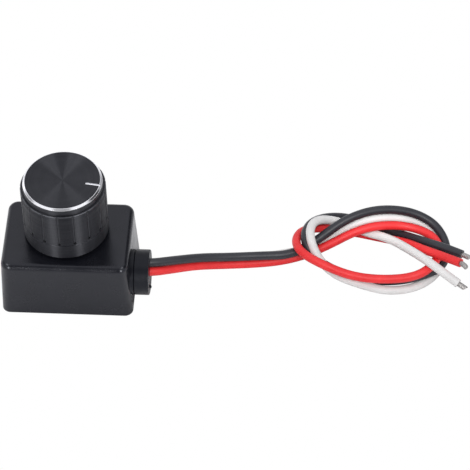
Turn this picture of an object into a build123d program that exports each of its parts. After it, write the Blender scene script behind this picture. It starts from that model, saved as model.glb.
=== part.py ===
from build123d import *
from math import tan, radians, pi
import os

os.makedirs("parts", exist_ok=True)

# ---------------------------------------------------------------- dimensions, mm
# Frame: origin at the middle of the case's underside, +X towards the wires,
# +Y to the back, +Z up.

# case
case_w = 31.1            # at the underside
case_d = 22.3
case_h = 16.0
draft = 2.05             # degrees, all four walls
corner_r = 2.0           # at the underside
corner_top_r = 2.5       # at the top
top_edge_r = 1.45
wall = 1.5
top_wall = 1.6
rim = 0.8                # what is left of the wall round the base plate
plate_t = 1.5
plate_gap = 0.05
hook_x = 8.0
groove_z = 4.1

# knob
knob_x = -0.33
knob_y = 1.75
knob_d = 20.0
knob_h = 16.3
knob_gap = 0.9           # between the case and the knob
neck_r = 9.28            # band under the bright edge, at its top
neck_low_r = 9.45        # and at its foot
face_r = 8.84            # flat face
edge = 0.4               # height of the bright chamfer
edge_break = 0.05        # both of its corners are broken
neck_h = 1.5
groove_n = 17
groove_r = 0.6            # round-bottomed grooves
groove_depth = 0.15
skirt_h = 4.3            # smooth band under the grooves
groove_end = 0.55        # the grooves' round ends, above the line
groove_deg = -92.5       # one groove lies at this angle
pointer_deg = -7.8
pointer_w = 0.5
pointer_r0 = 5.55
recess_r = 7.5
recess_h = 4.2
insert_r = 5.5
knob_top_wall = 2.2

# control (6 mm shaft, M7 bushing, 9 mm body)
shaft_r = 3.0
shaft_top = 29.4
shaft_flat = 1.5
run_gap = 0.05           # radial, shaft in bushing
bushing_r = 3.5
bushing_top = 19.6
pot_w = 9.6
pot_d = 10.8
frame_t = 1.2
housing_z = 8.6
wafer_t = 1.2
rotor_r = 3.9
cavity_r = 4.3
track_t = 0.1
pin_pitch = 2.5
pin_y = knob_y - 4.5
washer_t = 0.5
nut_t = 2.0
nut_af = 10.0

# board
board_z = 4.9
board_t = 1.6
board_w = 25.3
board_d = 17.4
board_x = -0.35
post_r = 1.2

# gland
gland_y = -4.3
gland_z = 8.2
gland_r = 5.4
gland_end = 19.5
gland_neck_r = 4.2
gland_flange_r = 4.7
gland_flange_x = 12.6

# wires
wire_d = 2.1
core_r = 0.65
tip_l = {"black": 2.3, "red": 2.2, "white": 2.5}

# Routes: from the board, through the gland, down to the floor, round one loose
# overhand knot of all three wires, to the stripped ends.
black_route = [
    (10.49, -3.11, 7.61), (13.64, -2.89, 10.20), (19.29, -3.21, 10.17), (25.20, -0.97, 8.97), (31.15, 2.15, 6.57),
    (37.88, 4.15, 4.68), (45.28, 5.46, 4.00), (52.43, 6.41, 3.57), (58.38, 10.15, 4.86), (64.59, 13.97, 8.06),
    (70.60, 16.73, 8.68), (76.49, 18.17, 7.91), (82.15, 18.38, 6.22), (87.01, 16.43, 4.26), (89.61, 10.84, 3.20),
    (88.67, 4.70, 3.18), (84.43, 1.56, 3.46), (78.32, 0.15, 2.56), (71.62, 1.30, 1.02), (64.32, 3.09, 1.21),
    (57.99, 4.91, 4.05), (55.08, 8.34, 7.16), (56.23, 14.34, 6.35), (60.82, 19.13, 3.47), (67.03, 20.49, 1.31),
    (73.81, 17.76, 0.98), (80.06, 13.41, 3.52), (84.95, 8.66, 6.98), (89.34, 6.57, 7.58), (92.90, 4.39, 8.08),
]
red_route = [
    (10.50, -5.79, 7.60), (14.89, -4.51, 8.62), (19.89, -4.23, 8.22), (24.77, -1.81, 6.72), (29.89, 1.14, 4.72),
    (35.87, 3.32, 2.73), (42.56, 4.68, 1.81), (49.29, 6.06, 1.34), (55.47, 7.93, 1.72), (61.38, 9.89, 3.70),
    (66.98, 12.15, 5.98), (72.74, 14.40, 6.18), (79.80, 16.03, 4.46), (85.91, 13.46, 4.35), (87.98, 8.83, 4.40),
    (86.30, 2.72, 5.76), (82.32, -0.49, 5.24), (75.46, -0.90, 4.14), (67.47, -0.65, 4.53), (60.36, 0.74, 6.72),
    (54.75, 3.86, 7.44), (53.03, 8.84, 6.06), (54.65, 13.98, 4.20), (60.17, 16.53, 2.21), (67.40, 16.27, 1.01),
    (74.32, 14.11, 1.68), (79.75, 10.49, 4.59), (84.09, 6.18, 7.16), (88.55, 3.86, 7.78), (92.55, 0.81, 9.18),
]
white_route = [
    (10.51, 0.30, 7.59), (14.20, -2.38, 7.57), (19.08, -1.50, 8.22), (23.70, 0.15, 6.90), (28.95, 3.13, 3.88),
    (35.50, 5.54, 1.90), (43.18, 7.00, 1.13), (50.84, 8.85, 1.12), (57.42, 10.72, 1.14), (62.12, 12.64, 3.80),
    (66.84, 14.49, 6.31), (72.73, 16.68, 6.45), (79.12, 18.05, 4.99), (85.04, 17.51, 2.66), (88.56, 12.99, 1.13),
    (88.22, 5.39, 1.11), (83.29, -0.14, 1.12), (75.99, -2.04, 1.13), (68.97, -0.27, 1.34), (62.33, 1.50, 2.82),
    (58.25, 4.01, 6.55), (56.36, 8.72, 9.42), (57.70, 14.02, 8.05), (62.83, 16.86, 4.59), (69.02, 15.11, 2.92),
    (75.40, 11.76, 4.63), (80.49, 6.62, 6.63), (84.96, 1.89, 8.11), (89.00, -0.69, 6.80), (92.19, -2.68, 5.76),
]
inner_l = {"black": 0.95, "red": 1.6, "white": 1.6}

# derived heights
lean = case_h * tan(radians(draft))
knob_z0 = case_h + knob_gap
knob_z1 = knob_z0 + knob_h
ceiling = case_h - top_wall
frame_z = ceiling - frame_t
wafer_z = housing_z - wafer_t
board_top = board_z + board_t
axis_plane = Plane(origin=(knob_x, knob_y, 0), x_dir=(1, 0, 0), z_dir=(0, -1, 0))
knob_axis = Axis((knob_x, knob_y, 0), (0, 0, 1))


def bend_radii(points):
    """Largest arcs that the runs of a route leave room for."""
    radii = []
    for a, b, c in zip(points, points[1:], points[2:]):
        v1, v2 = Vector(*b) - Vector(*a), Vector(*c) - Vector(*b)
        turn = radians(v1.get_angle(v2))
        radii.append(0.45 * min(v1.length, v2.length) / tan(turn / 2))
    return radii


# ---------------------------------------------------------------- case
with BuildPart() as case_shell:
    with BuildSketch(Plane.XY):
        RectangleRounded(case_w, case_d, corner_r)
    with BuildSketch(Plane.XY.offset(case_h)):
        RectangleRounded(case_w - 2 * lean, case_d - 2 * lean, corner_top_r)
    loft(ruled=True)
    fillet(case_shell.faces().sort_by(Axis.Z)[-1].edges(), top_edge_r)
    # inside, with the same draft
    with BuildSketch(Plane.XY):
        RectangleRounded(case_w - 2 * wall, case_d - 2 * wall, 0.8)
    extrude(amount=ceiling, taper=draft, mode=Mode.SUBTRACT)
    # rebate for the base plate
    with BuildSketch(Plane.XY):
        RectangleRounded(case_w - 2 * rim, case_d - 2 * rim, 1.1)
    extrude(amount=plate_t, mode=Mode.SUBTRACT)
    # hole for the bushing
    with BuildSketch(Plane.XY.offset(ceiling - 0.5)):
        with Locations((knob_x, knob_y)):
            Circle(bushing_r + 0.1)
    extrude(amount=top_wall + 1, mode=Mode.SUBTRACT)
    # hole for the gland
    with BuildSketch(Plane.YZ.offset(13.0)):
        with Locations((gland_y, gland_z)):
            Circle(gland_neck_r)
    extrude(amount=4, mode=Mode.SUBTRACT)
    # grooves that the base plate's hooks snap into
    with Locations(*[(sx * hook_x, sy * 9.725, groove_z) for sx in (-1, 1) for sy in (-1, 1)]):
        Box(3.8, 0.75, 1.2, mode=Mode.SUBTRACT)
case_shell.part.label = "case_shell"

with BuildPart() as base_plate:
    with BuildSketch(Plane.XY):
        RectangleRounded(case_w - 2 * rim - 2 * plate_gap, case_d - 2 * rim - 2 * plate_gap, 1.05)
    extrude(amount=plate_t)
    # posts that the board stands on
    with BuildSketch(Plane.XY.offset(plate_t)):
        with GridLocations(21.6, 13.2, 2, 2):
            Circle(post_r)
    extrude(amount=board_z - plate_t)
    # snap hooks
    with Locations(*[(sx * hook_x, sy * 8.9, plate_t) for sx in (-1, 1) for sy in (-1, 1)]):
        Box(3.0, 0.8, 3.1, align=(Align.CENTER, Align.CENTER, Align.MIN))
    with Locations(*[(sx * hook_x, sy * 9.4, groove_z) for sx in (-1, 1) for sy in (-1, 1)]):
        Box(3.0, 0.7, 0.8)
base_plate.part.label = "base_plate"

# ---------------------------------------------------------------- wires
black_radii = bend_radii(black_route)
with BuildPart() as wire_black:
    with BuildLine() as black_path:
        FilletPolyline(*black_route, radius=black_radii)
    with BuildSketch(Plane(origin=black_path.line @ 0, z_dir=black_path.line % 0)):
        Circle(wire_d / 2)
    sweep()
wire_black.part.label = "wire_black"

red_radii = bend_radii(red_route)
with BuildPart() as wire_red:
    with BuildLine() as red_path:
        FilletPolyline(*red_route, radius=red_radii)
    with BuildSketch(Plane(origin=red_path.line @ 0, z_dir=red_path.line % 0)):
        Circle(wire_d / 2)
    sweep()
wire_red.part.label = "wire_red"

white_radii = bend_radii(white_route)
with BuildPart() as wire_white:
    with BuildLine() as white_path:
        FilletPolyline(*white_route, radius=white_radii)
    with BuildSketch(Plane(origin=white_path.line @ 0, z_dir=white_path.line % 0)):
        Circle(wire_d / 2)
    sweep()
wire_white.part.label = "wire_white"

for name, path, part, radii in (
    ("black", black_path, wire_black, black_radii),
    ("red", red_path, wire_red, red_radii),
    ("white", white_path, wire_white, white_radii),
):
    length = sum(e.length for e in path.line.edges())
    print(name, "length %.1f" % length, "volume %.1f of %.1f" % (part.part.volume, pi * wire_d ** 2 / 4 * length))
    print("   radii", [round(r, 1) for r in radii])

# stripped and tinned free ends
with BuildPart() as tip_black:
    with BuildSketch(Plane(origin=black_path.line @ 1, z_dir=black_path.line % 1)):
        Circle(core_r)
    extrude(amount=tip_l["black"])
    fillet(tip_black.faces().sort_by(Axis(black_path.line @ 1, black_path.line % 1))[-1].edges(), 0.25)
tip_black.part.label = "tip_black"

with BuildPart() as tip_red:
    with BuildSketch(Plane(origin=red_path.line @ 1, z_dir=red_path.line % 1)):
        Circle(core_r)
    extrude(amount=tip_l["red"])
    fillet(tip_red.faces().sort_by(Axis(red_path.line @ 1, red_path.line % 1))[-1].edges(), 0.25)
tip_red.part.label = "tip_red"

with BuildPart() as tip_white:
    with BuildSketch(Plane(origin=white_path.line @ 1, z_dir=white_path.line % 1)):
        Circle(core_r)
    extrude(amount=tip_l["white"])
    fillet(tip_white.faces().sort_by(Axis(white_path.line @ 1, white_path.line % 1))[-1].edges(), 0.25)
tip_white.part.label = "tip_white"

# stripped ends on the board
with BuildPart() as lead_ends_inside:
    with BuildSketch(Plane(origin=black_path.line @ 0, z_dir=-(black_path.line % 0))):
        Circle(core_r)
    extrude(amount=inner_l["black"])
    with BuildSketch(Plane(origin=red_path.line @ 0, z_dir=-(red_path.line % 0))):
        Circle(core_r)
    extrude(amount=inner_l["red"])
    with BuildSketch(Plane(origin=white_path.line @ 0, z_dir=-(white_path.line % 0))):
        Circle(core_r)
    extrude(amount=inner_l["white"])
lead_ends_inside.part.label = "lead_ends_inside"

# ---------------------------------------------------------------- gland
gland_plane = Plane(origin=(0, gland_y, gland_z), x_dir=(1, 0, 0), z_dir=(0, -1, 0))
with BuildPart() as cable_gland:
    with BuildSketch(gland_plane):
        with BuildLine():
            Polyline(
                (gland_flange_x, 0), (gland_flange_x, gland_flange_r), (14.3, gland_flange_r), (14.3, gland_r),
                (15.92, gland_r), (16.04, gland_r - 0.2), (16.16, gland_r),
                (gland_end - 0.2, gland_r), (gland_end - 0.06, gland_r - 0.06), (gland_end, gland_r - 0.2),
                (gland_end, 0), close=True,
            )
        make_face()
    revolve(axis=Axis((0, gland_y, gland_z), (1, 0, 0)))
    # gate mark on the end face
    with Locations((gland_end, gland_y - 2.6, gland_z - 2.2)):
        Sphere(0.5)
    add(case_shell.part, mode=Mode.SUBTRACT)
    add(wire_black.part, mode=Mode.SUBTRACT)
    add(wire_red.part, mode=Mode.SUBTRACT)
    add(wire_white.part, mode=Mode.SUBTRACT)
cable_gland.part.label = "cable_gland"

# ---------------------------------------------------------------- control
with BuildPart() as pot_frame:
    with BuildSketch(Plane.XY.offset(frame_z)):
        with Locations((knob_x, knob_y)):
            RectangleRounded(pot_w, pot_d, 0.5)
    extrude(amount=frame_t)
    with BuildSketch(Plane.XY.offset(ceiling)):
        with Locations((knob_x, knob_y)):
            Circle(bushing_r)
    extrude(amount=bushing_top - ceiling)
    chamfer(pot_frame.faces().sort_by(Axis.Z)[-1].edges(), 0.3)
    with BuildSketch(Plane.XY.offset(frame_z - 0.5)):
        with Locations((knob_x, knob_y)):
            Circle(shaft_r + run_gap)
    extrude(amount=bushing_top - frame_z + 1, mode=Mode.SUBTRACT)
pot_frame.part.label = "pot_frame"

with BuildPart() as pot_housing:
    with BuildSketch(Plane.XY.offset(housing_z)):
        with Locations((knob_x, knob_y)):
            RectangleRounded(pot_w, pot_d, 0.5)
            Circle(cavity_r, mode=Mode.SUBTRACT)
    extrude(amount=frame_z - housing_z)
pot_housing.part.label = "pot_housing"

with BuildPart() as pot_wafer:
    with BuildSketch(Plane.XY.offset(wafer_z)):
        with Locations((knob_x, knob_y)):
            RectangleRounded(pot_w, pot_d, 0.5)
    extrude(amount=wafer_t)
pot_wafer.part.label = "pot_wafer"

with BuildPart() as pot_track:
    with BuildSketch(Plane.XY.offset(housing_z)):
        with Locations((knob_x, knob_y)):
            Circle(3.7)
            Circle(2.9, mode=Mode.SUBTRACT)
        with Locations((knob_x, knob_y - 3.3)):
            Rectangle(3.2, 1.6, mode=Mode.SUBTRACT)
    extrude(amount=track_t)
pot_track.part.label = "pot_track"

with BuildPart() as pot_terminals:
    with BuildSketch(Plane.XY.offset(board_z - 1.0)):
        with Locations(*[(knob_x + k * pin_pitch, pin_y) for k in (-1, 0, 1)]):
            Rectangle(0.8, 0.4)
    extrude(amount=wafer_z - board_z + 1.0)
pot_terminals.part.label = "pot_terminals"

with BuildPart() as pot_shaft:
    with BuildSketch(axis_plane):
        with BuildLine():
            Polyline(
                (0, 9.02), (2.0, 9.02), (2.0, 12.2), (rotor_r, 12.2), (rotor_r, frame_z - 0.1),
                (shaft_r, frame_z - 0.1), (shaft_r, shaft_top - 0.4), (shaft_r - 0.4, shaft_top), (0, shaft_top),
                close=True,
            )
        make_face()
    revolve(axis=knob_axis)
    # flat that drives the knob
    with Locations((knob_x - shaft_flat - 1.0, knob_y, (20.6 + shaft_top + 1) / 2)):
        Box(2.0, 8.0, shaft_top + 1 - 20.6, mode=Mode.SUBTRACT)
pot_shaft.part.label = "pot_shaft"

with BuildPart() as pot_rotor:
    with BuildSketch(Plane.XY.offset(9.02)):
        with Locations((knob_x, knob_y)):
            Circle(rotor_r)
            Circle(2.0, mode=Mode.SUBTRACT)
    extrude(amount=12.2 - 9.02)
pot_rotor.part.label = "pot_rotor"

with BuildPart() as pot_wiper:
    with BuildSketch(Plane.XY.offset(housing_z + track_t + 0.1)):
        with Locations((knob_x, knob_y)):
            Circle(2.4)
        with Locations((knob_x + 1.8, knob_y)):
            Rectangle(3.6, 1.2)
        with Locations((knob_x, knob_y)):
            Circle(1.0, mode=Mode.SUBTRACT)
    extrude(amount=9.02 - housing_z - track_t - 0.1)
pot_wiper.part.label = "pot_wiper"

with BuildPart() as lock_washer:
    with BuildSketch(Plane.XY.offset(case_h)):
        with Locations((knob_x, knob_y)):
            Circle(5.6)
            Circle(bushing_r + 0.05, mode=Mode.SUBTRACT)
    extrude(amount=washer_t)
lock_washer.part.label = "lock_washer"

with BuildPart() as hex_nut:
    with BuildSketch(Plane.XY.offset(case_h + washer_t)):
        with Locations((knob_x, knob_y)):
            RegularPolygon(nut_af / 2, 6, major_radius=False)
            Circle(bushing_r, mode=Mode.SUBTRACT)
    extrude(amount=nut_t)
hex_nut.part.label = "hex_nut"

# ---------------------------------------------------------------- knob
grip_r = knob_d / 2
line_z = knob_z0 + skirt_h
ledge_z = knob_z1 - edge - neck_h
with BuildPart() as knob_cap:
    with BuildSketch(axis_plane):
        with BuildLine():
            Polyline(
                (recess_r, knob_z0), (grip_r - 0.2, knob_z0), (grip_r, knob_z0 + 0.2),
                (grip_r, line_z - 0.14), (grip_r - 0.1, line_z), (grip_r, line_z + 0.14),
                (grip_r, ledge_z - 0.17), (grip_r - 0.17, ledge_z), (neck_low_r, ledge_z),
                (neck_r, knob_z1 - edge - edge_break), (neck_r - 0.6 * edge_break, knob_z1 - edge + 0.5 * edge_break),
                (face_r + 0.6 * edge_break, knob_z1 - 0.5 * edge_break), (face_r - edge_break, knob_z1),
                (0, knob_z1), (0, knob_z1 - knob_top_wall), (insert_r, knob_z1 - knob_top_wall),
                (insert_r, knob_z0 + recess_h), (recess_r, knob_z0 + recess_h), close=True,
            )
        make_face()
    revolve(axis=knob_axis)
    # grip grooves, each run out in a small round end
    with Locations((knob_x, knob_y, line_z + groove_end)):
        with PolarLocations(grip_r + groove_r - groove_depth, groove_n, start_angle=groove_deg):
            Cylinder(groove_r, ledge_z + 0.05 - line_z - groove_end,
                     align=(Align.CENTER, Align.CENTER, Align.MIN), mode=Mode.SUBTRACT)
        with PolarLocations(grip_r, groove_n, start_angle=groove_deg):
            Cylinder(0.36, 1.1, rotation=(0, 90, 0), mode=Mode.SUBTRACT)
    # pointer cut into the face
    with Locations(Location((knob_x, knob_y, knob_z1), (0, 0, pointer_deg))):
        with Locations(((pointer_r0 + 10.5) / 2, 0, 0)):
            Box(10.5 - pointer_r0, pointer_w, 0.3, mode=Mode.SUBTRACT)
knob_cap.part.label = "knob_cap"

with BuildPart() as knob_insert:
    with BuildSketch(Plane.XY.offset(knob_z0 + recess_h)):
        with Locations((knob_x, knob_y)):
            Circle(insert_r)
    extrude(amount=knob_z1 - knob_top_wall - knob_z0 - recess_h)
    with BuildSketch(Plane.XY.offset(knob_z0 + recess_h - 0.5)):
        with Locations((knob_x, knob_y)):
            Circle(shaft_r + 0.02)
        with Locations((knob_x - shaft_flat - 0.02 - 1.0, knob_y)):
            Rectangle(2.0, 8.0, mode=Mode.SUBTRACT)
    extrude(amount=shaft_top + 0.2 - knob_z0 - recess_h + 0.5, mode=Mode.SUBTRACT)
knob_insert.part.label = "knob_insert"

# ---------------------------------------------------------------- board and what is on it
with BuildPart() as circuit_board:
    with BuildSketch(Plane.XY.offset(board_z)):
        with Locations((board_x, 0)):
            RectangleRounded(board_w, board_d, 0.8)
        with Locations(*[(knob_x + k * pin_pitch, pin_y) for k in (-1, 0, 1)]):
            Circle(0.6, mode=Mode.SUBTRACT)
    extrude(amount=board_t)
circuit_board.part.label = "circuit_board"

with BuildPart() as power_transistor:
    with Locations((-6.4, 3.2, board_z - 1.25)):
        Box(6.1, 5.6, 2.1)
    with Locations((-6.4, 6.4, board_z - 0.25)):
        Box(5.2, 1.6, 0.5)
    with Locations((-8.68, -0.6, board_z - 0.25), (-4.12, -0.6, board_z - 0.25)):
        Box(0.8, 2.6, 0.5)
power_transistor.part.label = "power_transistor"

with BuildPart() as timer_chip:
    with Locations((0.6, 4.2, board_z - 0.85)):
        Box(4.9, 3.9, 1.4)
    with Locations((0.6, 4.2, board_z - 0.1)):
        with GridLocations(1.27, 5.0, 4, 2):
            Box(0.42, 1.0, 0.2)
    with Locations((0.6, 4.2, board_z - 0.5)):
        with GridLocations(1.27, 4.2, 4, 2):
            Box(0.42, 0.6, 1.0)
timer_chip.part.label = "timer_chip"

with BuildPart() as voltage_regulator:
    with Locations((7.2, 4.4, board_z - 0.8)):
        Box(4.5, 2.5, 1.5)
    with Locations((5.7, 2.7, board_z - 0.2), (7.2, 2.7, board_z - 0.2), (8.7, 2.7, board_z - 0.2)):
        Box(0.5, 1.0, 0.4)
voltage_regulator.part.label = "voltage_regulator"

with BuildPart() as clamp_diode:
    with Locations((7.0, -2.6, board_z - 1.15)):
        Box(4.3, 2.6, 2.0)
    with Locations((4.7, -2.6, board_z - 0.5), (9.3, -2.6, board_z - 0.5)):
        Box(0.6, 1.4, 1.0)
clamp_diode.part.label = "clamp_diode"

with BuildPart() as input_capacitor:
    with Locations((-7.2, -5.0, board_z - 0.2)):
        Box(4.3, 4.3, 0.4)
    with BuildSketch(Plane.XY.offset(board_z - 0.4)):
        with Locations((-7.2, -5.0)):
            Circle(2.0)
    extrude(amount=-2.7)
    fillet(input_capacitor.faces().sort_by(Axis.Z)[0].edges(), 0.3)
input_capacitor.part.label = "input_capacitor"

with BuildPart() as chip_resistors:
    with Locations((-2.6, -6.6, board_z - 0.25), (1.0, -6.6, board_z - 0.25),
                   (4.4, -6.6, board_z - 0.25), (3.6, 0.2, board_z - 0.25)):
        Box(2.0, 1.25, 0.5)
chip_resistors.part.label = "chip_resistors"

with BuildPart() as chip_capacitors:
    with Locations((-2.1, 0.2, board_z - 0.45), (0.6, 0.2, board_z - 0.45), (7.6, -6.6, board_z - 0.45)):
        Box(2.0, 1.25, 0.9)
chip_capacitors.part.label = "chip_capacitors"

lead_spots = []
for name, path in (("black", black_path), ("red", red_path), ("white", white_path)):
    spot = path.line @ 0 - (path.line % 0) * (inner_l[name] * 0.75)
    lead_spots.append(spot)

with BuildPart() as solder_joints:
    # under the board, round the control's pins
    with Locations(*[(knob_x + k * pin_pitch, pin_y, board_z) for k in (-1, 0, 1)]):
        Cone(0.55, 1.0, 0.8, align=(Align.CENTER, Align.CENTER, Align.MAX))
    # on the board, round the wires' ends
    for spot in lead_spots:
        with Locations((spot.X, spot.Y, board_top)):
            Cone(1.0, 0.72, spot.Z + 0.35 - board_top, align=(Align.CENTER, Align.CENTER, Align.MIN))
    add(pot_terminals.part, mode=Mode.SUBTRACT)
    add(lead_ends_inside.part, mode=Mode.SUBTRACT)
    add(wire_black.part, mode=Mode.SUBTRACT)
    add(wire_red.part, mode=Mode.SUBTRACT)
    add(wire_white.part, mode=Mode.SUBTRACT)
solder_joints.part.label = "solder_joints"

# ---------------------------------------------------------------- files
export_step(case_shell.part, "parts/case_shell.step")
export_step(base_plate.part, "parts/base_plate.step")
export_step(cable_gland.part, "parts/cable_gland.step")
export_step(wire_black.part, "parts/wire_black.step")
export_step(wire_red.part, "parts/wire_red.step")
export_step(wire_white.part, "parts/wire_white.step")
export_step(tip_black.part, "parts/tip_black.step")
export_step(tip_red.part, "parts/tip_red.step")
export_step(tip_white.part, "parts/tip_white.step")
export_step(lead_ends_inside.part, "parts/lead_ends_inside.step")
export_step(pot_frame.part, "parts/pot_frame.step")
export_step(pot_housing.part, "parts/pot_housing.step")
export_step(pot_wafer.part, "parts/pot_wafer.step")
export_step(pot_track.part, "parts/pot_track.step")
export_step(pot_terminals.part, "parts/pot_terminals.step")
export_step(pot_shaft.part, "parts/pot_shaft.step")
export_step(pot_rotor.part, "parts/pot_rotor.step")
export_step(pot_wiper.part, "parts/pot_wiper.step")
export_step(lock_washer.part, "parts/lock_washer.step")
export_step(hex_nut.part, "parts/hex_nut.step")
export_step(knob_cap.part, "parts/knob_cap.step")
export_step(knob_insert.part, "parts/knob_insert.step")
export_step(circuit_board.part, "parts/circuit_board.step")
export_step(power_transistor.part, "parts/power_transistor.step")
export_step(timer_chip.part, "parts/timer_chip.step")
export_step(voltage_regulator.part, "parts/voltage_regulator.step")
export_step(clamp_diode.part, "parts/clamp_diode.step")
export_step(input_capacitor.part, "parts/input_capacitor.step")
export_step(chip_resistors.part, "parts/chip_resistors.step")
export_step(chip_capacitors.part, "parts/chip_capacitors.step")
export_step(solder_joints.part, "parts/solder_joints.step")
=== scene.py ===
import math

import bmesh
import bpy
from mathutils import Matrix, Vector


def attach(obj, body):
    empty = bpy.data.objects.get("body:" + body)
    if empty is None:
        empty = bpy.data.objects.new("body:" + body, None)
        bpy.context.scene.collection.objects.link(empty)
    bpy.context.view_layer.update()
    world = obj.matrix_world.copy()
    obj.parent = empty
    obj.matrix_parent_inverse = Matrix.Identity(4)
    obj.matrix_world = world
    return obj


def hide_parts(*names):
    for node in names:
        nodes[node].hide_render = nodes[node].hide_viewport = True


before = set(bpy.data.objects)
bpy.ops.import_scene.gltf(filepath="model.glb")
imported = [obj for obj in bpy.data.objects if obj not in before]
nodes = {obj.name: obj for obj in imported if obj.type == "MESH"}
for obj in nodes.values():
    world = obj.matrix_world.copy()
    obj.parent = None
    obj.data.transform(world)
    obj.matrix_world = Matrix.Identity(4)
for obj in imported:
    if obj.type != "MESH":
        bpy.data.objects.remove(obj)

scene = bpy.context.scene
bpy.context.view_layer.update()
MM = 0.001

# ------------------------------------------------------------------ camera
# The picture is square, 470 pixels a side, and the lens is 3000 pixels long.
cam_data = bpy.data.cameras.new("camera")
cam_data.sensor_width = 36.0
cam_data.lens = 3000.0 / 470.0 * 36.0
cam_data.clip_start = 0.05
cam_data.clip_end = 50.0
cam = bpy.data.objects.new("camera", cam_data)
scene.collection.objects.link(cam)
right = Vector((0.99801482, 0.05948616, -0.02068352))
up = Vector((-0.03166458, 0.75783506, 0.65167736))
back = Vector((0.05444048, -0.64972873, 0.75821422))
eye = Vector((0.07778881, -0.45669583, 0.55062294))
cam.matrix_world = Matrix((
    (right.x, up.x, back.x, eye.x),
    (right.y, up.y, back.y, eye.y),
    (right.z, up.z, back.z, eye.z),
    (0.0, 0.0, 0.0, 1.0),
))
scene.camera = cam

# ------------------------------------------------------------------ node helpers


def new_material(name):
    m = bpy.data.materials.new(name)
    m.use_nodes = True
    return m, m.node_tree, m.node_tree.nodes["Principled BSDF"]


def add(nt, kind, **inputs):
    n = nt.nodes.new(kind)
    for k, v in inputs.items():
        n.inputs[k.replace("_", " ")].default_value = v
    return n


def object_coords(nt):
    return nt.nodes.new("ShaderNodeTexCoord").outputs["Object"]


def noise(nt, coords, scale, detail=3.0, rough=0.55, stretch=None):
    n = add(nt, "ShaderNodeTexNoise", Scale=scale, Detail=detail, Roughness=rough)
    if stretch:
        mp = add(nt, "ShaderNodeMapping", Scale=stretch)
        nt.links.new(coords, mp.inputs["Vector"])
        coords = mp.outputs["Vector"]
    nt.links.new(coords, n.inputs["Vector"])
    return n.outputs["Fac"]


def spread(nt, value, lo, hi, a=0.3, b=0.7, smooth=False):
    n = nt.nodes.new("ShaderNodeMapRange")
    if smooth:
        n.interpolation_type = "SMOOTHSTEP"
    n.inputs["From Min"].default_value = a
    n.inputs["From Max"].default_value = b
    n.inputs["To Min"].default_value = lo
    n.inputs["To Max"].default_value = hi
    nt.links.new(value, n.inputs["Value"])
    return n.outputs["Result"]


def mix_colour(nt, factor, a, b, blend="MIX"):
    n = nt.nodes.new("ShaderNodeMix")
    n.data_type = "RGBA"
    n.blend_type = blend
    if isinstance(factor, (int, float)):
        n.inputs[0].default_value = factor
    else:
        nt.links.new(factor, n.inputs[0])
    for socket, v in ((n.inputs[6], a), (n.inputs[7], b)):
        if isinstance(v, (tuple, list)):
            socket.default_value = (*v, 1.0)
        else:
            nt.links.new(v, socket)
    return n.outputs[2]


def maths(nt, op, a, b=None, c=None):
    n = nt.nodes.new("ShaderNodeMath")
    n.operation = op
    for i, v in enumerate((a, b, c)):
        if v is None:
            continue
        if isinstance(v, (int, float)):
            n.inputs[i].default_value = v
        else:
            nt.links.new(v, n.inputs[i])
    return n.outputs[0]


def bump(nt, p, height, distance, strength=1.0):
    n = add(nt, "ShaderNodeBump", Strength=strength, Distance=distance)
    nt.links.new(height, n.inputs["Height"])
    nt.links.new(n.outputs["Normal"], p.inputs["Normal"])


# ------------------------------------------------------------------ materials


def insulation(name, light, dark, rough, spec):
    """Extruded insulation: faint blotches, uneven gloss and a skin that isn't quite even."""
    m, nt, p = new_material(name)
    co = object_coords(nt)
    blotch = noise(nt, co, 260.0, 4.0)
    nt.links.new(mix_colour(nt, spread(nt, blotch, 0.0, 1.0), light, dark), p.inputs["Base Color"])
    fine = noise(nt, co, 1500.0, 3.0)
    nt.links.new(spread(nt, fine, rough - 0.06, rough + 0.08), p.inputs["Roughness"])
    p.inputs["Specular IOR Level"].default_value = spec
    lumps = noise(nt, co, 700.0, 2.0)
    bump(nt, p, lumps, 0.00004, 0.5)
    return m


def moulded(name, light, dark, rough, spec, grain=3200.0, depth=0.000012, cloud=90.0, tint=(1.0, 1.0, 1.0)):
    """Moulded plastic: a fine grain, slow clouding and slightly uneven gloss."""
    m, nt, p = new_material(name)
    co = object_coords(nt)
    slow = noise(nt, co, cloud, 3.0)
    nt.links.new(mix_colour(nt, spread(nt, slow, 0.0, 1.0), light, dark), p.inputs["Base Color"])
    patch = noise(nt, co, cloud * 3.3, 4.0)
    nt.links.new(spread(nt, patch, rough - 0.05, rough + 0.06), p.inputs["Roughness"])
    p.inputs["Specular IOR Level"].default_value = spec
    p.inputs["Specular Tint"].default_value = (*tint, 1.0)
    bump(nt, p, noise(nt, co, grain, 2.0), depth, 0.6)
    return m


def metal(name, light, dark, rough, stretch=None, scale=900.0, depth=0.000008):
    m, nt, p = new_material(name)
    co = object_coords(nt)
    f = noise(nt, co, scale, 4.0, stretch=stretch)
    nt.links.new(mix_colour(nt, spread(nt, f, 0.0, 1.0), light, dark), p.inputs["Base Color"])
    nt.links.new(spread(nt, f, rough - 0.06, rough + 0.08), p.inputs["Roughness"])
    p.inputs["Metallic"].default_value = 1.0
    bump(nt, p, f, depth, 0.5)
    return m


KX, KY = -0.33 * MM, 1.75 * MM      # knob axis
KNOB_Z1 = 33.2 * MM


def axis_parts(nt):
    """Radius and height about the knob axis, in metres."""
    sep = nt.nodes.new("ShaderNodeSeparateXYZ")
    nt.links.new(object_coords(nt), sep.inputs[0])
    dx = maths(nt, "SUBTRACT", sep.outputs["X"], KX)
    dy = maths(nt, "SUBTRACT", sep.outputs["Y"], KY)
    r = maths(nt, "SQRT", maths(nt, "ADD", maths(nt, "MULTIPLY", dx, dx), maths(nt, "MULTIPLY", dy, dy)))
    return r, sep.outputs["Z"]


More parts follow.
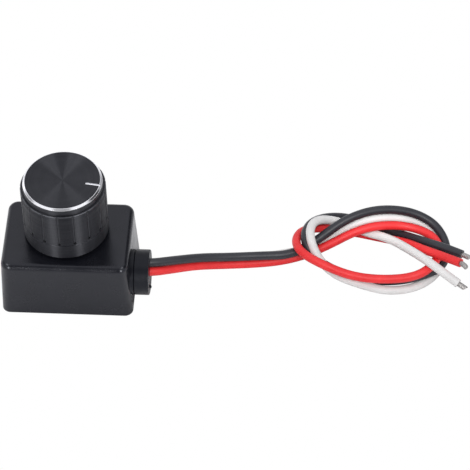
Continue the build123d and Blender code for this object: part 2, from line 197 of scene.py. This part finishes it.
def one_axis_noise(nt, value, scale, detail=3.0):
    n = add(nt, "ShaderNodeTexNoise", Scale=scale, Detail=detail, Roughness=0.6)
    n.noise_dimensions = "1D"
    nt.links.new(value, n.inputs["W"])
    return n.outputs["Fac"]


def turned(name, light, dark, rough, aniso, spec, metallic=0.0, by_radius=False, ring_lo=0.0, ring_hi=1.0,
           tint=(1.0, 1.0, 1.0), dish=0.0, waver=0.0, fine=5200.0, vary=0.05):
    """Turned metal: the tool leaves rings round the axis, so the shine is drawn out across them.
    A dished face leans inwards a little, and rings that waver break up the shine's edges."""
    m, nt, p = new_material(name)
    r, z = axis_parts(nt)
    along = r if by_radius else z
    rings = one_axis_noise(nt, along, fine, 3.0)
    wide = one_axis_noise(nt, along, 900.0, 2.0)
    both = maths(nt, "ADD", maths(nt, "MULTIPLY", rings, 0.6), maths(nt, "MULTIPLY", wide, 0.4))
    nt.links.new(mix_colour(nt, spread(nt, both, ring_lo, ring_hi), light, dark), p.inputs["Base Color"])
    nt.links.new(spread(nt, both, rough - vary, rough + vary), p.inputs["Roughness"])
    p.inputs["Metallic"].default_value = metallic
    p.inputs["Specular IOR Level"].default_value = spec
    p.inputs["Specular Tint"].default_value = (*tint, 1.0)
    p.inputs["Anisotropic"].default_value = aniso
    p.inputs["Anisotropic Rotation"].default_value = 0.25
    if dish:
        bump(nt, p, maths(nt, "MULTIPLY", maths(nt, "MULTIPLY", r, r), dish), 1.0)
    if waver:
        bump(nt, p, noise(nt, object_coords(nt), 420.0, 2.0, stretch=(1.0, 1.0, 9.0)), waver)
    t = nt.nodes.new("ShaderNodeTangent")
    t.direction_type = "RADIAL"
    t.axis = "Z"
    nt.links.new(t.outputs["Tangent"], p.inputs["Tangent"])
    return m


COOL = (0.90, 0.915, 1.0)
case_black = moulded("case_black", (0.0055, 0.0058, 0.0082), (0.0038, 0.0041, 0.0060), 0.24, 0.385, tint=COOL)
plate_black = moulded("plate_black", (0.0075, 0.0078, 0.0102), (0.0052, 0.0055, 0.0074), 0.40, 0.40, tint=COOL)
gland_black = moulded("gland_black", (0.0046, 0.0051, 0.0074), (0.0032, 0.0037, 0.0056), 0.34, 0.21, grain=2200.0, tint=COOL)
wire_black_m = insulation("insulation_black", (0.024, 0.025, 0.031), (0.017, 0.018, 0.024), 0.42, 0.45)
wire_red_m = insulation("insulation_red", (0.74, 0.026, 0.028), (0.64, 0.018, 0.021), 0.50, 0.40)
wire_white_m = insulation("insulation_white", (0.66, 0.65, 0.64), (0.60, 0.59, 0.58), 0.50, 0.40)
tinned_m = metal("tinned", (0.47, 0.45, 0.435), (0.26, 0.248, 0.24), 0.36, scale=2600.0, depth=0.00002)

knob_top_m = turned("knob_face", (0.0062, 0.0064, 0.0085), (0.0040, 0.0042, 0.0060), 0.40, 1.0, 0.53, by_radius=True, tint=COOL, dish=11.0)
knob_side_m = turned("knob_side", (0.0048, 0.0050, 0.0068), (0.0032, 0.0034, 0.0048), 0.42, 1.0, 0.42, tint=COOL, waver=0.00004, fine=2300.0, vary=0.12)
knob_neck_m = turned("knob_neck", (0.0050, 0.0052, 0.0070), (0.0034, 0.0036, 0.0050), 0.34, 0.9, 0.50, tint=COOL)
knob_bright_m = turned("knob_bright", (0.91, 0.91, 0.93), (0.80, 0.80, 0.83), 0.17, 0.3, 0.5, metallic=1.0, by_radius=True)
# painted highlight: the grip's broken edge is coloured lighter than the side, so it shows as a thin light line
knob_edge_highlight_m = turned("knob_edge", (0.036, 0.037, 0.042), (0.026, 0.027, 0.031), 0.26, 0.4, 0.9, tint=COOL)
knob_inside_m = moulded("knob_inside", (0.012, 0.012, 0.013), (0.008, 0.008, 0.009), 0.5, 0.3)

insert_m = moulded("insert", (0.04, 0.04, 0.042), (0.028, 0.028, 0.03), 0.5, 0.4)
plated_m = metal("plated", (0.74, 0.73, 0.70), (0.60, 0.59, 0.56), 0.28)
die_cast_m = metal("die_cast", (0.64, 0.64, 0.64), (0.48, 0.48, 0.49), 0.42, depth=0.00002)
resin_m = moulded("resin", (0.03, 0.04, 0.07), (0.02, 0.027, 0.05), 0.45, 0.4)
phenolic_m = moulded("phenolic", (0.30, 0.16, 0.075), (0.20, 0.10, 0.045), 0.55, 0.4, cloud=400.0)
carbon_m = moulded("carbon", (0.016, 0.016, 0.016), (0.010, 0.010, 0.010), 0.6, 0.3)
contact_m = metal("contact", (0.78, 0.60, 0.28), (0.62, 0.46, 0.20), 0.3)
laminate_m = moulded("laminate", (0.02, 0.17, 0.06), (0.012, 0.11, 0.04), 0.32, 0.5, cloud=350.0)
epoxy_m = moulded("epoxy", (0.025, 0.025, 0.026), (0.018, 0.018, 0.019), 0.55, 0.4)
can_m = metal("can", (0.78, 0.78, 0.79), (0.66, 0.66, 0.67), 0.3)
glazed_m = moulded("glazed", (0.02, 0.02, 0.02), (0.013, 0.013, 0.014), 0.25, 0.5)
ceramic_m = moulded("ceramic", (0.46, 0.33, 0.20), (0.38, 0.26, 0.15), 0.35, 0.5)
solder_m = metal("solder", (0.72, 0.71, 0.69), (0.55, 0.54, 0.52), 0.22)

# ------------------------------------------------------------------ cords
# Same routes as the CAD solids, as control points of one smooth line each.
routes = {
    "black": [
        (10.49, -3.11, 7.61), (13.64, -2.89, 10.20), (19.29, -3.21, 10.17), (25.20, -0.97, 8.97), (31.15, 2.15, 6.57),
        (37.88, 4.15, 4.68), (45.28, 5.46, 4.00), (52.43, 6.41, 3.57), (58.38, 10.15, 4.86), (64.59, 13.97, 8.06),
        (70.60, 16.73, 8.68), (76.49, 18.17, 7.91), (82.15, 18.38, 6.22), (87.01, 16.43, 4.26), (89.61, 10.84, 3.20),
        (88.67, 4.70, 3.18), (84.43, 1.56, 3.46), (78.32, 0.15, 2.56), (71.62, 1.30, 1.02), (64.32, 3.09, 1.21),
        (57.99, 4.91, 4.05), (55.08, 8.34, 7.16), (56.23, 14.34, 6.35), (60.82, 19.13, 3.47), (67.03, 20.49, 1.31),
        (73.81, 17.76, 0.98), (80.06, 13.41, 3.52), (84.95, 8.66, 6.98), (89.34, 6.57, 7.58), (92.90, 4.39, 8.08),
    ],
    "red": [
        (10.50, -5.79, 7.60), (14.89, -4.51, 8.62), (19.89, -4.23, 8.22), (24.77, -1.81, 6.72), (29.89, 1.14, 4.72),
        (35.87, 3.32, 2.73), (42.56, 4.68, 1.81), (49.29, 6.06, 1.34), (55.47, 7.93, 1.72), (61.38, 9.89, 3.70),
        (66.98, 12.15, 5.98), (72.74, 14.40, 6.18), (79.80, 16.03, 4.46), (85.91, 13.46, 4.35), (87.98, 8.83, 4.40),
        (86.30, 2.72, 5.76), (82.32, -0.49, 5.24), (75.46, -0.90, 4.14), (67.47, -0.65, 4.53), (60.36, 0.74, 6.72),
        (54.75, 3.86, 7.44), (53.03, 8.84, 6.06), (54.65, 13.98, 4.20), (60.17, 16.53, 2.21), (67.40, 16.27, 1.01),
        (74.32, 14.11, 1.68), (79.75, 10.49, 4.59), (84.09, 6.18, 7.16), (88.55, 3.86, 7.78), (92.55, 0.81, 9.18),
    ],
    "white": [
        (10.51, 0.30, 7.59), (14.20, -2.38, 7.57), (19.08, -1.50, 8.22), (23.70, 0.15, 6.90), (28.95, 3.13, 3.88),
        (35.50, 5.54, 1.90), (43.18, 7.00, 1.13), (50.84, 8.85, 1.12), (57.42, 10.72, 1.14), (62.12, 12.64, 3.80),
        (66.84, 14.49, 6.31), (72.73, 16.68, 6.45), (79.12, 18.05, 4.99), (85.04, 17.51, 2.66), (88.56, 12.99, 1.13),
        (88.22, 5.39, 1.11), (83.29, -0.14, 1.12), (75.99, -2.04, 1.13), (68.97, -0.27, 1.34), (62.33, 1.50, 2.82),
        (58.25, 4.01, 6.55), (56.36, 8.72, 9.42), (57.70, 14.02, 8.05), (62.83, 16.86, 4.59), (69.02, 15.11, 2.92),
        (75.40, 11.76, 4.63), (80.49, 6.62, 6.63), (84.96, 1.89, 8.11), (89.00, -0.69, 6.80), (92.19, -2.68, 5.76),
    ],
}
WIRE_R = 1.05 * MM
CORE_R = 0.65 * MM
tip_lengths = {"black": 2.3 * MM, "red": 2.2 * MM, "white": 2.5 * MM}
wire_mats = {"black": wire_black_m, "red": wire_red_m, "white": wire_white_m}


def stripped_end(name, route, length, slant, turn, droop):
    """Tinned strands twisted together: a lobed bundle that winds along its length, with the lobes' ends cut unevenly."""
    a, b = (Vector(q) * MM for q in route[-2:])
    w = (b - a).normalized()
    u = w.cross(Vector((0, 0, 1))).normalized()
    v = w.cross(u)
    lobes, around, rings = 9, 108, 26
    bm = bmesh.new()
    rows = []
    for i in range(rings + 1):
        t = i / rings
        row = []
        for j in range(around):
            ang = 2 * math.pi * j / around
            phase = lobes * (ang - turn * t)
            lobe = abs(math.cos(phase / 2))
            # the bundle is fullest in the middle and draws in to the cut
            full = 0.93 + 0.04 * math.sin(math.pi * t) - 0.10 * max(0.0, (t - 0.86) / 0.14) ** 2
            rad = CORE_R * full * (0.90 + 0.12 * lobe ** 0.55)
            rad = min(rad, CORE_R * 0.985)
            which = math.floor((phase + math.pi) / (2 * math.pi)) % lobes
            short = 0.10 * MM * ((which * 7) % 5) / 4 + slant * (1 + math.cos(ang - 0.9)) * 0.5
            along = -0.3 * MM + t * (length + 0.3 * MM - 0.02 * MM - short * t ** 3)
            row.append(bm.verts.new(b + w * along + droop * t ** 2 + (u * math.cos(ang) + v * math.sin(ang)) * rad))
        rows.append(row)
    for r0, r1 in zip(rows, rows[1:]):
        for j in range(around):
            k = (j + 1) % around
            bm.faces.new((r0[j], r0[k], r1[k], r1[j]))
    # ends: shallow domes
    for row, side in ((rows[0], -1), (rows[-1], 1)):
        centre = sum((q.co for q in row), Vector()) / around
        inner = [bm.verts.new(centre + (q.co - centre) * 0.72 + w * side * 0.010 * MM) for q in row]
        for j in range(around):
            k = (j + 1) % around
            f = (row[j], row[k], inner[k], inner[j]) if side > 0 else (row[k], row[j], inner[j], inner[k])
            bm.faces.new(f)
        tip = bm.verts.new(centre + w * side * 0.015 * MM)
        for j in range(around):
            k = (j + 1) % around
            bm.faces.new((inner[j], inner[k], tip) if side > 0 else (inner[k], inner[j], tip))
    bm.normal_update()
    me = bpy.data.meshes.new(name)
    bm.to_mesh(me)
    bm.free()
    me.polygons.foreach_set("use_smooth", [True] * len(me.polygons))
    o = bpy.data.objects.new(name, me)
    scene.collection.objects.link(o)
    o.data.materials.append(tinned_m)
    return o


slants = {"black": 0.30 * MM, "red": 0.35 * MM, "white": 0.60 * MM}
droops = {"black": Vector((0, 0, -0.1)) * MM, "red": Vector((-0.1, -0.25, -0.5)) * MM, "white": Vector((0, 0, 0.15)) * MM}
wire_pieces = []
for colour, route in routes.items():
    cu = bpy.data.curves.new("cord_" + colour, "CURVE")
    cu.dimensions = "3D"
    sp = cu.splines.new("NURBS")
    sp.points.add(len(route) - 1)
    for q, (x, y, z) in zip(sp.points, route):
        q.co = (x * MM, y * MM, z * MM, 1.0)
    sp.order_u = 3
    sp.use_endpoint_u = True
    sp.resolution_u = 14
    cu.bevel_depth = WIRE_R
    cu.bevel_resolution = 9
    cu.use_fill_caps = True
    cord = bpy.data.objects.new("cord_" + colour, cu)
    scene.collection.objects.link(cord)
    cu.materials.append(wire_mats[colour])
    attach(cord, "case")
    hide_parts("wire_" + colour)
    tip = stripped_end("strands_" + colour, route, tip_lengths[colour], slants[colour], 2.2, droops[colour])
    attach(tip, "case")
    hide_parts("tip_" + colour)
    wire_pieces += [cord, tip]

# ------------------------------------------------------------------ CAD nodes' materials
finish = {
    "case_shell": case_black,
    "base_plate": plate_black,
    "cable_gland": gland_black,
    "lead_ends_inside": tinned_m,
    "pot_frame": die_cast_m,
    "pot_housing": resin_m,
    "pot_wafer": phenolic_m,
    "pot_track": carbon_m,
    "pot_terminals": plated_m,
    "pot_shaft": die_cast_m,
    "pot_rotor": resin_m,
    "pot_wiper": contact_m,
    "lock_washer": plated_m,
    "hex_nut": plated_m,
    "knob_insert": insert_m,
    "circuit_board": laminate_m,
    "power_transistor": epoxy_m,
    "timer_chip": epoxy_m,
    "voltage_regulator": epoxy_m,
    "clamp_diode": epoxy_m,
    "input_capacitor": can_m,
    "chip_resistors": glazed_m,
    "chip_capacitors": ceramic_m,
    "solder_joints": solder_m,
}
for name, m in finish.items():
    nodes[name].data.materials.clear()
    nodes[name].data.materials.append(m)

# The knob has several finishes, told apart by where a face is.
knob = nodes["knob_cap"].data
knob.materials.clear()
for m in (knob_side_m, knob_top_m, knob_neck_m, knob_bright_m, knob_inside_m, knob_edge_highlight_m):
    knob.materials.append(m)
POINTER = math.radians(-7.8)
for f in knob.polygons:
    c, n = f.center, f.normal
    dx, dy = c.x - KX, c.y - KY
    r = math.hypot(dx, dy)
    across = abs(-dx * math.sin(POINTER) + dy * math.cos(POINTER))
    outward = (n.x * dx + n.y * dy) / r if r > 1e-9 else 0.0
    i = 0
    if KNOB_Z1 - 0.16 * MM < c.z < KNOB_Z1 - 0.002 * MM and across < 0.251 * MM and dx > 5.3 * MM and r < 9.1 * MM:
        i = 3                                   # pointer
    elif c.z > KNOB_Z1 - 0.002 * MM:
        i = 1                                   # face
    elif c.z > 32.76 * MM and r > 8.6 * MM:
        i = 3                                   # bright chamfer
    elif c.z > 31.29 * MM and r > 9.2 * MM:
        i = 2                                   # neck and ledge
    elif c.z > 31.14 * MM and n.z > 0.4 and r > 9.7 * MM:
        i = 5                                   # broken edge of the grip
    elif outward < -0.5 or n.z < -0.9:
        i = 4                                   # inside and underneath
    f.material_index = i

# ------------------------------------------------------------------ floor and light
ROOM = 1.05
GAP_LOW = 0.97
GAP_HIGH = 0.62
LOW_DIM = 0.45
LEFT_GLOW = 0.5
RIGHT_GLOW = 0.6
LEFT_DIM = 0.62
BEHIND = 0.14
BEHIND_DIM = 0.25
BACK_DIM = 0.60
RIGHT_DIM = 0.95
EDGE_DIM = 0.8
FRONT_DIM = 0.6
STRIP_L = 12.2
STRIP_R = 11.8
PANEL_L = 5.2
PANEL_R = 5.2
WIRES = 10.4
ARC = 13.0
TABLE_L = 3.6
TABLE_R = 4.0
CORNER = 3.5
FRONT_FLOOR_SHADE = 0.62
floor_me = bpy.data.meshes.new("floor")
s = 4.0
floor_me.from_pydata([(-s, -s, -0.00003), (s, -s, -0.00003), (s, s, -0.00003), (-s, s, -0.00003)], [], [(0, 1, 2, 3)])
floor = bpy.data.objects.new("floor", floor_me)
scene.collection.objects.link(floor)
fm, fnt, fp = new_material("floor_pale")
fco = object_coords(fnt)
fsep = fnt.nodes.new("ShaderNodeSeparateXYZ")
fnt.links.new(fco, fsep.inputs[0])
# painted shade: the table's colour is darker far in front, so less light comes back from there
front = spread(fnt, fsep.outputs["Y"], FRONT_FLOOR_SHADE, 1.0, -0.095, -0.045, smooth=True)
fnt.links.new(mix_colour(fnt, maths(fnt, "MULTIPLY", front, spread(fnt, noise(fnt, fco, 3.0), 0.98, 1.0)), (0.02, 0.02, 0.02), (0.92, 0.92, 0.92)), fp.inputs["Base Color"])
fp.inputs["Roughness"].default_value = 0.9
fp.inputs["Specular IOR Level"].default_value = 0.0
# over-exposed to the camera, so no shadow shows, but plain and pale to everything else
glow = add(fnt, "ShaderNodeEmission", Color=(1.0, 1.0, 1.0, 1.0), Strength=1.0)
both = fnt.nodes.new("ShaderNodeMixShader")
fnt.links.new(fnt.nodes.new("ShaderNodeLightPath").outputs["Is Camera Ray"], both.inputs[0])
fnt.links.new(fp.outputs[0], both.inputs[1])
fnt.links.new(glow.outputs[0], both.inputs[2])
fnt.links.new(both.outputs[0], fnt.nodes["Material Output"].inputs["Surface"])
floor_me.materials.append(fm)

# A pale room: bright behind, overhead and on the left, dark round the camera and low on the right.
world = bpy.data.worlds.new("studio")
scene.world = world
world.use_nodes = True
wnt = world.node_tree
sep = wnt.nodes.new("ShaderNodeSeparateXYZ")
wnt.links.new(wnt.nodes.new("ShaderNodeTexCoord").outputs["Generated"], sep.inputs[0])
azimuth = maths(wnt, "ARCTAN2", sep.outputs["X"], maths(wnt, "MULTIPLY", sep.outputs["Y"], -1.0))
height = maths(wnt, "ARCSINE", sep.outputs["Z"])


def ramp(value, at, soft):
    """0 below an angle and 1 above it, in degrees."""
    return spread(wnt, value, 0.0, 1.0, math.radians(at - soft), math.radians(at + soft), smooth=True)


def window(value, lo, hi, soft):
    return maths(wnt, "SUBTRACT", ramp(value, lo, soft), ramp(value, hi, soft))


def dimmed(level, where, how_much):
    return maths(wnt, "MULTIPLY", level, maths(wnt, "SUBTRACT", 1.0, maths(wnt, "MULTIPLY", where, how_much)))


def below(at, soft):
    return maths(wnt, "SUBTRACT", 1.0, ramp(height, at, soft))


gap = window(azimuth, -24, 25, 6)
level = dimmed(ROOM, maths(wnt, "MULTIPLY", gap, below(66, 8)), GAP_HIGH)
level = dimmed(level, maths(wnt, "MULTIPLY", gap, below(32, 5)), GAP_LOW)
level = dimmed(level, maths(wnt, "MULTIPLY", window(azimuth, -32, 34, 6), window(height, 51, 74, 4)), FRONT_DIM)
level = dimmed(level, maths(wnt, "MULTIPLY", window(azimuth, -78, -24, 6), below(16, 6)), LOW_DIM)
level = dimmed(level, maths(wnt, "MULTIPLY", window(azimuth, -132, -80, 8), below(10, 5)), -LEFT_GLOW)
level = dimmed(level, maths(wnt, "MULTIPLY", window(azimuth, 82, 122, 6), below(10, 5)), -RIGHT_GLOW)
level = dimmed(level, maths(wnt, "MULTIPLY", window(azimuth, 25, 66, 6), below(16, 6)), LOW_DIM)
level = dimmed(level, maths(wnt, "MULTIPLY", window(azimuth, 78, 118, 6), window(height, 13, 52, 6)), RIGHT_DIM)
level = dimmed(level, maths(wnt, "MULTIPLY", window(azimuth, 118, 150, 6), below(30, 6)), BACK_DIM)
level = dimmed(level, maths(wnt, "MULTIPLY", window(azimuth, -118, -78, 6), window(height, 13, 40, 5)), LEFT_DIM)
level = dimmed(level, maths(wnt, "MULTIPLY", window(azimuth, 124, 151, 5), window(height, 15, 40, 5)), EDGE_DIM)
behind = maths(wnt, "ADD", ramp(azimuth, 140, 10), maths(wnt, "SUBTRACT", 1.0, ramp(azimuth, -140, 10)))
level = dimmed(level, maths(wnt, "MULTIPLY", behind, window(height, 43, 80, 5)), -BEHIND)
level = dimmed(level, maths(wnt, "MULTIPLY", behind, window(height, 8, 39, 5)), BEHIND_DIM)
bg = wnt.nodes["Background"]
bg.inputs["Color"].default_value = (0.96, 0.965, 1.0, 1.0)
wnt.links.new(level, bg.inputs["Strength"])


def softbox(name, azimuth, elevation, distance, w, h, radiance, aim, lit):
    """A soft rectangular light on some of the objects. Azimuth 0 is in front, 90 to the right."""
    a, e = math.radians(azimuth), math.radians(elevation)
    d = Vector((math.sin(a) * math.cos(e), -math.cos(a) * math.cos(e), math.sin(e)))
    ld = bpy.data.lights.new(name, "AREA")
    ld.shape = "RECTANGLE"
    ld.size, ld.size_y = w, h
    ld.energy = radiance * math.pi * w * h
    o = bpy.data.objects.new(name, ld)
    scene.collection.objects.link(o)
    o.location = Vector(aim) + d * distance
    o.rotation_mode = "QUATERNION"
    o.rotation_quaternion = (-d).to_track_quat("-Z", "Y")
    o.visible_camera = False
    o.light_linking.receiver_collection = lit


# the strips show in the box and its knob, the panels light the table too, the rest is for the wires
strips_lit = bpy.data.collections.new("strips_lit")
for name in ("knob_cap", "case_shell", "cable_gland"):
    strips_lit.objects.link(nodes[name])
box_lit = bpy.data.collections.new("box_lit")
wires_lit = bpy.data.collections.new("wires_lit")
for o in list(nodes.values()) + [floor]:
    box_lit.objects.link(o)
arc_lit = bpy.data.collections.new("arc_lit")
for o in wire_pieces:
    wires_lit.objects.link(o)
    if "black" not in o.name:
        arc_lit.objects.link(o)
over_box = (0.0, 0.0, 0.02)
over_knot = (0.07, 0.008, 0.004)
softbox("strip_left", -22.5, 15, 1.2, 0.30, 0.62, STRIP_L, over_box, strips_lit)
softbox("strip_right", 34, 15, 1.2, 0.27, 0.62, STRIP_R, over_box, strips_lit)
softbox("panel_left", -70, 58, 1.2, 0.36, 0.36, PANEL_L, over_box, box_lit)
softbox("panel_right", 74, 58, 1.2, 0.36, 0.36, PANEL_R, over_box, box_lit)
table_lit = bpy.data.collections.new("table_lit")
table_lit.objects.link(floor)
softbox("table_left", -90, 75, 0.30, 0.12, 0.10, TABLE_L, (-0.085, 0.04, 0.0), table_lit)
softbox("table_right", 150, 75, 0.30, 0.06, 0.10, TABLE_R, (0.035, 0.03, 0.0), table_lit)
softbox("wires_top", 6, 52, 1.2, 0.5, 0.5, WIRES, over_knot, wires_lit)


def beam(name, aim, towards, distance, across, energy, lit):
    """A narrow round light, so wide across where it falls."""
    d = Vector(towards).normalized()
    ld = bpy.data.lights.new(name, "SPOT")
    ld.energy = energy
    ld.spot_size = 2.0 * math.atan(0.5 * across / distance)
    ld.spot_blend = 0.7
    ld.shadow_soft_size = 0.009
    o = bpy.data.objects.new(name, ld)
    scene.collection.objects.link(o)
    o.location = Vector(aim) + d * distance
    o.rotation_mode = "QUATERNION"
    o.rotation_quaternion = (-d).to_track_quat("-Z", "Y")
    o.visible_camera = False
    o.light_linking.receiver_collection = lit


beam("arc_top", (0.0735, 0.0178, 0.007), (0.10, -0.55, 0.83), 0.8, 0.0265, ARC, arc_lit)
beam("corner", (0.0255, -0.0125, 0.0), (0.30, -0.30, 0.90), 0.5, 0.019, CORNER, table_lit)

scene.view_settings.view_transform = "Standard"
scene.view_settings.look = "None"
